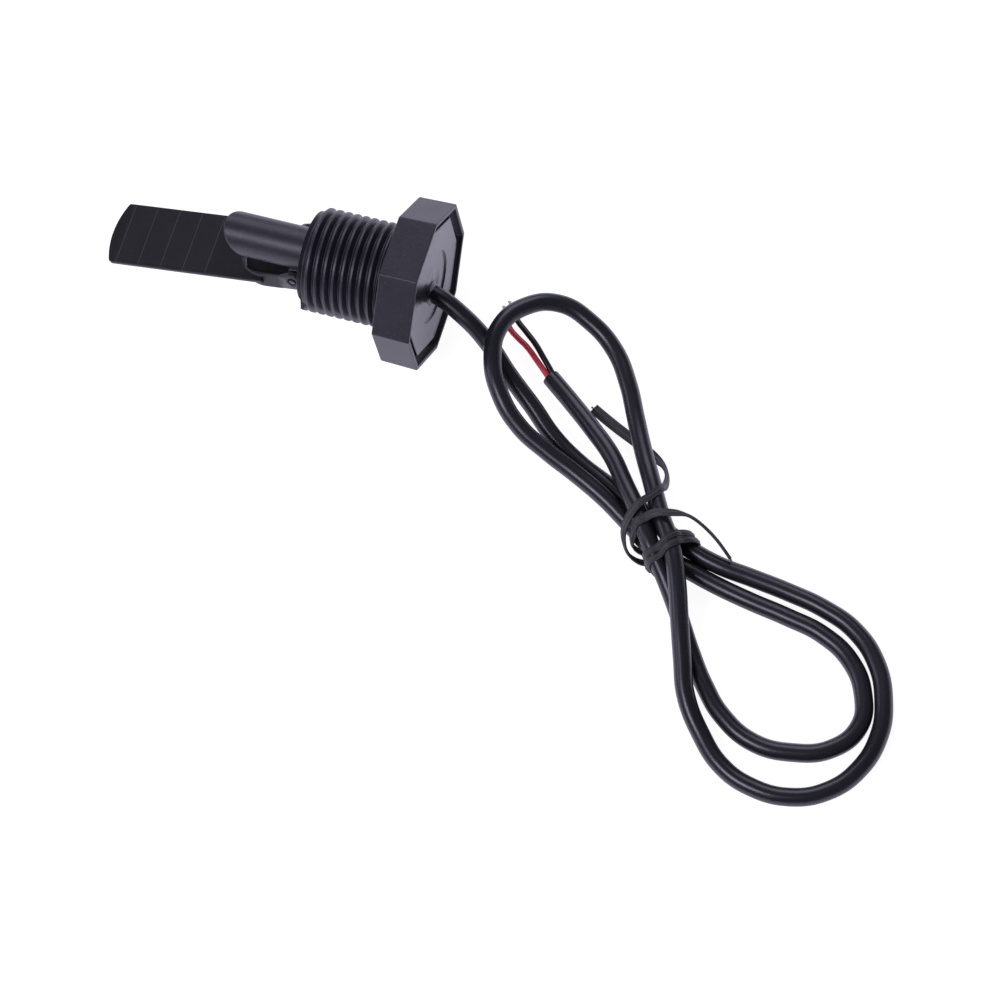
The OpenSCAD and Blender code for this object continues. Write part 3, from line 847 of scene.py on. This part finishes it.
def bladeSkin():
    half, top, soft = paddle["half"], paddle["top"], paddle["edgeRound"]
    low = top - paddle["thickness"]
    steps = paddle["rowSteps"]
    across = [-1 + 2 * k / steps for k in range(steps + 1)]
    arc = [math.radians(15 * k) for k in range(7)]
    topRow = [(y * (half - soft), top) for y in across]
    rightSide = [(half - soft + soft * math.sin(a), top - soft + soft * math.cos(a)) for a in arc[1:]]
    rightSide += [(half - soft + soft * math.cos(a), low + soft - soft * math.sin(a)) for a in arc[:-1]]
    lowRow = [(-y * (half - soft), low) for y in across]
    leftSide = [(-y, z) for y, z in reversed(rightSide)]
    loop = topRow + rightSide + lowRow + leftSide

    def ring(place, drop=0.0, inset=0.0):
        # place gives x across the blade, drop sinks the upper row, inset shrinks the whole ring
        middle = (top + low) / 2
        points = []
        for y, z in loop:
            if z > top - 0.3 * soft:
                z -= drop
            squeezed = middle + (z - middle) * (1 - inset / (paddle["thickness"] / 2))
            points.append(onPaddle(place(y), y * (1 - inset / half), squeezed))
        return points

    def at(x):
        return lambda y: x

    # rings at the hub, at each score line and round the tip, with a few between to keep faces even
    firstScore = -paddle["firstScore"]
    ahead = firstScore + paddle["beforeScores"]
    rings = [ring(bladeStart), ring(lambda y: bladeStart(y) - 0.1)]
    for part in (0.3, 0.6):
        rings.append(ring(lambda y, p=part: bladeStart(y) + (ahead - bladeStart(y)) * p))
    for k in range(paddle["scores"]):
        x = firstScore - k * paddle["scoreStep"]
        wide, deep = paddle["scoreWidth"] / 2, paddle["scoreDepth"]
        for beside, share in ((1, 0), (0.5, 0.6), (0, 1), (-0.5, 0.6), (-1, 0)):
            rings.append(ring(at(x + wide * beside), deep * share))
    behind = firstScore - (paddle["scores"] - 1) * paddle["scoreStep"] - paddle["afterScores"]
    for part in (0.35, 0.7):
        rings.append(ring(lambda y, p=part: behind + (tipLine(y) + soft - behind) * p))
    for degrees in (0, 22, 45, 68, 90):
        turn = math.radians(degrees)
        back = soft * (1 - math.sin(turn))
        rings.append(ring(lambda y, b=back: tipLine(y) + b, 0, soft * (1 - math.cos(turn))))
    points, faces = joinRings(rings, capped=False)
    # both ends are closed by strips between their upper and lower rows
    count, rows = len(loop), len(across)
    lowStart = rows + len(rightSide)
    strips = [(k, k + 1, lowStart + rows - 2 - k, lowStart + rows - 1 - k) for k in range(rows - 1)]
    strips.append(tuple(range(rows - 1, lowStart + 1)))
    strips.append(tuple(range(lowStart + rows - 1, count)) + (0,))
    last = (len(rings) - 1) * count
    faces += [tuple(last + k for k in strip) for strip in strips]
    faces += [tuple(reversed(strip)) for strip in strips]
    return points, faces


def lugTop(x):
    # side view of the lug: a long slope that runs into the round end about the pin
    radius, foot, base = hub["lugRadius"], hub["lugFoot"], paddle["top"]
    slope = math.atan2(-base, -foot) + math.asin(radius / math.hypot(foot, base))
    if x < foot:
        return base
    if x < -radius * math.sin(slope):
        return base + (x - foot) * math.tan(slope)
    return math.sqrt(max(radius ** 2 - x ** 2, 0))


def lugUnder(x):
    radius, heel, base = hub["lugRadius"], hub["heel"], hub["bottom"]
    if x <= heel:
        return base
    away = math.hypot(heel, base)
    slope = math.atan2(-base, -heel) - math.asin(radius / away)
    touch = heel + math.sqrt(away ** 2 - radius ** 2) * math.cos(slope)
    if x < touch:
        return base + (x - heel) * math.tan(slope)
    return -math.sqrt(max(radius ** 2 - x ** 2, 0))


def hubWallSkin():
    half, inner = paddle["half"], hub["innerRadius"]
    taper = hub["taperFrom"]
    stretch = (hub["innerFront"] - taper) / (hub["front"] - taper)
    stations = []
    for x in hub["stations"]:
        innerX = x if x > taper else taper + (x - taper) * stretch
        stations.append(((x, -half), (innerX, -inner), 0))
    for k in range(hub["frontSteps"] + 1):
        turn = math.pi * k / hub["frontSteps"]
        stations.append((
            (hub["front"] - half * math.sin(turn), -half * math.cos(turn)),
            (hub["innerFront"] - inner * math.sin(turn), -inner * math.cos(turn)), math.sin(turn)))
    for a, b, ahead in reversed(stations[:len(hub["stations"])]):
        stations.append(((a[0], -a[1]), (b[0], -b[1]), 0))
    waistAll, waistAhead, waistLug = hub["waist"]
    rings = []
    for outer, recess, ahead in stations:
        x = outer[0]
        rim = paddle["top"] + hub["rimRise"] + (hub["frontRise"] - hub["rimRise"]) * ahead
        lug = lugTop(x)
        top = max(rim, lug) if x < hub["heel"] else lug
        share = min(max((lug - rim) / hub["rimBlend"], 0), 1)
        lugLean = (top - paddle["top"]) * hub["lugLean"] / (hub["lugRadius"] - paddle["top"])
        lean = hub["rimLean"] * (1 - share) + lugLean * share
        under = lugUnder(x)
        start = Vector(outer)
        across = Vector(recess) - start
        wide = across.length
        across.normalize()
        lean = min(lean, wide * 0.75)
        waist = under + (waistAll + waistAhead * ahead + waistLug * share) * (top - under)
        line = softLine([
            (wide / 2, under, 0), (0, under, 0.3), (0, waist, 0.25), (lean, top, 0.22),
            (wide, top, 0.18), (wide, under, 0.05), (wide / 2, under, 0)])[:-1]
        rings.append([onPaddle(*(start + across * s), z) for s, z in line])
    return joinRings(rings)


def hubFloorSkin():
    # floor of the recess and the round boss below it that holds the magnet
    half = paddle["half"] - hub["floorInset"]
    heel = hub["heel"] - hub["floorShort"]
    outline = [(heel, -half)]
    for k in range(hub["floorSteps"] + 1):
        turn = math.pi * k / hub["floorSteps"]
        outline.append((hub["front"] - half * math.sin(turn), -half * math.cos(turn)))
    outline.append((heel, half))
    under, radius, pocket = hub["bottom"], hub["bossRadius"], hub["pocketRadius"]
    slab = joinRings([[onPaddle(x, y, z) for x, y in outline] for z in (under + 0.01, hub["floor"])])
    foot = under - hub["bossDrop"]
    line = softLine([
        (0.3, under + 0.1, 0), (radius + 0.3, under + 0.1, 0), (radius + 0.02, under - 0.3, 0.3),
        (radius - 0.03, foot, 0.3), (pocket, foot, 0.12), (pocket, under - 0.4, 0),
        (0.3, under - 0.4, 0)])
    rings = []
    for reach, z in line:
        rings.append([onPaddle(hub["bossAt"] + a, b, z) for a, b in roundOutline(reach, hub["bossSides"])])
    return gather(slab, joinRings(rings))


pinBores = [(pinPlace, hub["pinHole"], hub["boreLength"])]
addPiece("blade", bladeSkin(), "paddlePlastic", "paddle", ["paddle"])
# the hub's wall takes the paler painted light
addPiece("hubWall", hubWallSkin(), "hubPaintedLight", "paddle", ["paddle"], pinBores)
# the recess's floor takes the painted shade
addPiece("hubFloor", hubFloorSkin(), "recessPaintedShade", "paddle", ["paddle"])
print("paddle made")

# Tinned ends of the wires, as twisted strands
strands = {
    "length": 2.6,
    "inside": 1.0,
    "radius": 0.13,
    "ringRadius": 0.25,
    "around": 6,
    "turns": 0.7,
    "steps": 13,
    "sides": 8,
    "stagger": 0.1,          # neighbours end this much apart
    "squeeze": 0.15,         # the bundle is this much narrower at its tip
}


def strandSkin(route):
    end, before = Vector(route[-1]), Vector(route[-2])
    ahead = (end - before).normalized()
    side = ahead.orthogonal().normalized()
    over = ahead.cross(side)
    outline = roundOutline(strands["radius"], strands["sides"])
    skins = []
    for k in range(strands["around"] + 1):    # the last one runs straight in the middle
        length = strands["inside"] + strands["length"] - strands["stagger"] * (k % 3)
        path = []
        for i in range(strands["steps"] + 1):
            t = i / strands["steps"]
            turn = math.tau * (k / strands["around"] + strands["turns"] * t)
            reach = strands["ringRadius"] * (1 - strands["squeeze"] * t) if k < strands["around"] else 0
            place = end - ahead * strands["inside"] + ahead * length * t
            path.append(place + (side * math.cos(turn) + over * math.sin(turn)) * reach)
        skins.append(sweep(path, outline))
    return gather(*skins)


def addTip(name, route):
    return addPiece(name, strandSkin(route), "tinnedCopper", "head", ["wire_tips"])


redTip = addTip("redTip", cable["redRoute"])
blackTip = addTip("blackTip", cable["blackRoute"])

# Twist tie: a ribbed strip, wound from both of its ends round the four strands of the cable
tie = {
    "place": (89.6, -34.6, 0),
    "turn": -44,                # degrees, the way the strands run
    "middleHeight": 5.0,
    "gap": 0.32,                # between the strip's middle and a strand
    "nearby": 26,               # only strands within this distance count
    "lowest": 0.45,
    "rounds": 4,                # how often it is lifted off the strands and smoothed
    "cableParts": 8,            # pieces of cable between two points of its route, for that test
    # half of the strip's outline, across it and up
    "ribs": [
        (-1.1, 0.08), (-1.03, 0.2), (-0.9, 0.2), (-0.82, 0.06), (-0.66, 0.06), (-0.58, 0.2),
        (-0.46, 0.2), (-0.38, 0.07), (-0.26, 0.28), (-0.1, 0.33),
    ],
    # free ends: x, y, z, width as a share, and the way the strip faces
    "firstEnd": [
        (70, -11.5, 1.4, 1, (0, 0, 1)), (75, -14, 1.5, 1, (0.1, 0, 1)), (79.5, -16, 1.6, 1, (0.1, 0.1, 1)),
        (84.5, -18.4, 1.8, 1, (0.3, 0.3, 1)), (87.6, -20.9, 2.8, 0.9, (1, 0.5, 0.6)),
    ],
    "secondEnd": [
        (105.2, -36.1, 4.9, 0.5, (0.5, 0.75, 0.25)), (102, -33.6, 6.2, 0.85, (0.45, 0.8, 0.35)),
        (98.5, -31.8, 7.8, 0.9, (0.3, 0.9, 0.4)), (95.4, -31.1, 9.3, 0.85, (0.1, 0.9, 0.5)),
    ],
    # windings: along the strands, across them, height, width as a share
    "firstWinding": [
        (-7.8, -7.2, 5, 0.75), (-5.7, -4.7, 8, 0.7), (-5.1, -1.9, 9.8, 0.7), (-5.0, 0, 9.8, 0.7),
        (-4.5, 2.1, 9, 0.75), (-3.4, 4.4, 7.5, 0.8), (-1.7, 5.9, 6, 0.8), (0.5, 6.5, 4, 0.8),
        (2.2, 5.7, 2.4, 0.75), (3.3, 4.2, 1.2, 0.7), (4.0, 1.5, 0.7, 0.65), (4.2, -2, 0.7, 0.65),
        (4.3, -5.0, 1.8, 0.65), (4.2, -6.2, 4, 0.62), (4.0, -5.2, 6.4, 0.62), (3.8, -3.4, 8.2, 0.62),
        (4.2, -0.8, 9.5, 0.62), (4.3, 2.1, 8, 0.62), (4.5, 3.8, 6, 0.62), (4.9, 4.7, 4, 0.62),
        (5.2, 4.4, 1.9, 0.62), (5.1, 2, 0.7, 0.6), (5.0, -1.5, 0.7, 0.6),
    ],
    "secondWinding": [
        (0.1, -4.0, 10.3, 0.75), (-1.5, -1.4, 10.2, 0.8), (-2.0, 0.7, 9, 0.8), (-1.6, 2.6, 7.5, 0.8),
        (-1.2, 4.2, 5, 0.75), (-0.6, 4.8, 3, 0.7), (0.8, 4.0, 1.4, 0.65), (2.2, 2.2, 0.7, 0.6),
        (3.2, -1, 0.7, 0.6), (5.2, -4.5, 1.2, 0.6), (5.7, -6.3, 3.5, 0.62), (5.5, -5.4, 6, 0.62),
        (5.3, -3.5, 8, 0.62), (5.7, -0.6, 9.5, 0.62), (5.7, 1.7, 8, 0.62), (5.9, 3.6, 6, 0.62),
        (6.2, 4.3, 4, 0.62), (6.5, 3.8, 1.8, 0.62), (6.3, 1.5, 0.7, 0.6), (6.1, -1.5, 0.7, 0.6),
    ],
    "wireRadius": 0.2,
    "wireOutside": 0.5,         # the cut wire stands out of the strip by this
    "wireInside": 0.5,
    "wireSides": 10,
}
tieTurn = math.radians(tie["turn"])
alongBundle = Vector((math.cos(tieTurn), math.sin(tieTurn), 0))
acrossBundle = Vector((math.sin(tieTurn), -math.cos(tieTurn), 0))


def smoothRoute(route, parts=6):
    # rounded path through listed vectors
    path = []
    for i in range(len(route) - 1):
        before, start = route[max(i - 1, 0)], route[i]
        end, after = route[i + 1], route[min(i + 2, len(route) - 1)]
        for k in range(parts):
            t = k / parts
            curve = (before * 2 - start * 5 + end * 4 - after) * t ** 2
            curve += (start * 3 - before - end * 3 + after) * t ** 3
            path.append((start * 2 + (end - before) * t + curve) / 2)
    return path + [route[-1]]


cableLine = smoothRoute([Vector(place) for place in cable["route"]], tie["cableParts"])


def clearOfCable(path):
    # lifts a path off the strands that it would run through
    limit = cable["diameter"] / 2 + tie["gap"]
    middle = Vector(tie["place"])
    nearby = [place for place in cableLine if (place - middle).length < tie["nearby"]]
    for count in range(tie["rounds"]):
        for i, place in enumerate(path):
            for strand in nearby:
                away = place - strand
                if away.length < limit:
                    place = strand + away.normalized() * limit
            path[i] = Vector((place.x, place.y, max(place.z, tie["lowest"])))
        path[1:-1] = [(a + b * 2 + c) / 4 for a, b, c in zip(path, path[1:], path[2:])]
    return path


def stripSkin(end, winding):
    # one end of the strip and its windings; the path is given back for the wire
    places, facings, widths = [], [], []
    for x, y, z, width, facing in end:
        places.append(Vector((x, y, z)))
        facings.append(Vector(facing).normalized())
        widths.append(width)
    for along, across, height, width in winding:
        place = Vector(tie["place"]) + alongBundle * along + acrossBundle * across
        places.append(Vector((place.x, place.y, height)))
        upward = Vector((0, 0, height - tie["middleHeight"]))
        facings.append((acrossBundle * across + upward).normalized())
        widths.append(width)
    path = clearOfCable(smoothRoute(places))
    facings = smoothRoute(facings)
    widths = smoothRoute([Vector((width, 0, 0)) for width in widths])
    upper = tie["ribs"] + [(-a, b) for a, b in reversed(tie["ribs"])]
    outline = upper + [(a, -b) for a, b in reversed(upper)]
    rings = []
    for i, place in enumerate(path):
        ahead = aheadAt(path, i)
        over = (facings[i] - ahead * facings[i].dot(ahead)).normalized()
        side = over.cross(ahead)
        rings.append([place + side * a * widths[i].x + over * b for a, b in outline])
    return joinRings(rings), path


def addTie():
    skins, wires = [], []
    outline = roundOutline(tie["wireRadius"], tie["wireSides"])
    for name in ("first", "second"):
        skin, path = stripSkin(tie[name + "End"], tie[name + "Winding"])
        skins.append(skin)
        out = (path[0] - path[2]).normalized()
        ends = [path[0] - out * tie["wireInside"], path[0] + out * tie["wireOutside"]]
        wires.append(sweep(ends, outline))
    strip = addPiece("tieStrip", gather(*skins), "tieSkin", "head",
                     ["tie_wraps", "tie_tails"])
    wire = addPiece("tieWires", gather(*wires), "tieSteel", "head", ["tie_wire_ends"])
    return [strip, wire]


tiePieces = addTie()
print("tie wound")

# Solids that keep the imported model's shape
keptSolids = {
    "potting_resin": "resinGloss", "paddle_magnet": "magnetPlate", "magnet_cap": "paddlePlastic",
    "reed_glass": "reedGlass", "reed_lead_front": "leadAlloy", "reed_lead_rear": "leadAlloy",
    "reed_blade_moving": "leadAlloy", "reed_sleeve": "sleeveSkin", "solder_joints": "tinnedCopper",
    "joint_sleeves": "sleeveSkin", "red_lead_inside": "redSkin", "black_lead_inside": "blackSkin",
}
for node, finish in keptSolids.items():
    solid = frame["nodes"][node]
    solid.data.materials.clear()
    solid.data.materials.append(paints[finish])
print("solids finished")
